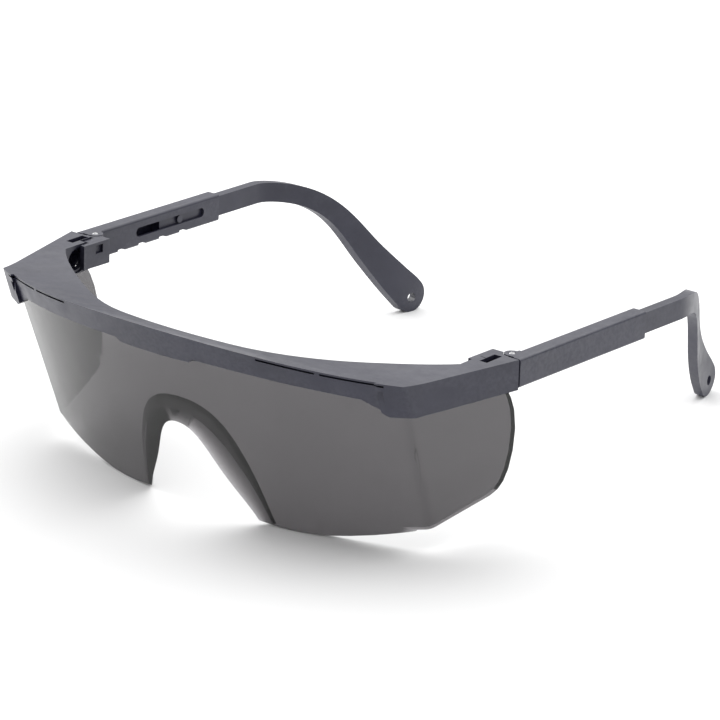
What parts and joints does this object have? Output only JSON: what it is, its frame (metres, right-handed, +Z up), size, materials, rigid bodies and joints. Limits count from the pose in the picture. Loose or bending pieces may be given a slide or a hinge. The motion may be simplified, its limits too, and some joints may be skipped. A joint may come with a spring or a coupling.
{
  "type": "safety glasses",
  "caption": "Wrap-around safety glasses with a brow guard, smoke lens with side shields, and temples that fold, tilt and change length.",
  "frame": {"origin": "middle of the footprint, on the surface the glasses rest on", "axes": "+X to the wearer's left, +Y back towards the ears, so the lens faces -Y, and +Z up"},
  "size_m": [0.1514, 0.1762, 0.0558],
  "materials": {
    "frame_plastic": "satin moulded nylon, dark blue grey",
    "smoke_lens": "polished smoke grey polycarbonate",
    "pin_steel": "plain steel pin"
  },
  "bodies": {
    "front": {"brow_frame": "frame_plastic", "lens": "smoke_lens"},
    "hinge_left": {"hinge_carrier_left": "frame_plastic", "hinge_pin_left": "pin_steel"},
    "temple_left": {"temple_sleeve_left": "frame_plastic"},
    "tip_left": {"temple_tip_left": "frame_plastic"},
    "hinge_right": {"hinge_carrier_right": "frame_plastic", "hinge_pin_right": "pin_steel"},
    "temple_right": {"temple_sleeve_right": "frame_plastic"},
    "tip_right": {"temple_tip_right": "frame_plastic"}
  },
  "joints": [
    {"name": "lens_tilt_left", "type": "hinge", "parent": "front", "child": "hinge_left", "pos_m": [0.0701, -0.04096, 0.04536], "axis": [1, 0, 0], "range_deg": [-9, 9]},
    {"name": "fold_left", "type": "hinge", "parent": "hinge_left", "child": "temple_left", "pos_m": [0.0706, -0.02946, 0.0452], "axis": [0, 0.0401, 0.9992], "range_deg": [0, 90]},
    {"name": "length_left", "type": "slide", "parent": "temple_left", "child": "tip_left", "axis": [0, 0.9992, -0.0401], "range_m": [-0.0168, 0.0084]},
    {"name": "lens_tilt_right", "type": "hinge", "parent": "front", "child": "hinge_right", "pos_m": [-0.0701, -0.04096, 0.04536], "axis": [1, 0, 0], "range_deg": [-9, 9]},
    {"name": "fold_right", "type": "hinge", "parent": "hinge_right", "child": "temple_right", "pos_m": [-0.0706, -0.02946, 0.0452], "axis": [0, -0.0401, -0.9992], "range_deg": [0, 78]},
    {"name": "length_right", "type": "slide", "parent": "temple_right", "child": "tip_right", "axis": [0, 0.9992, -0.0401], "range_m": [-0.0168, 0.0084]}
  ]
}
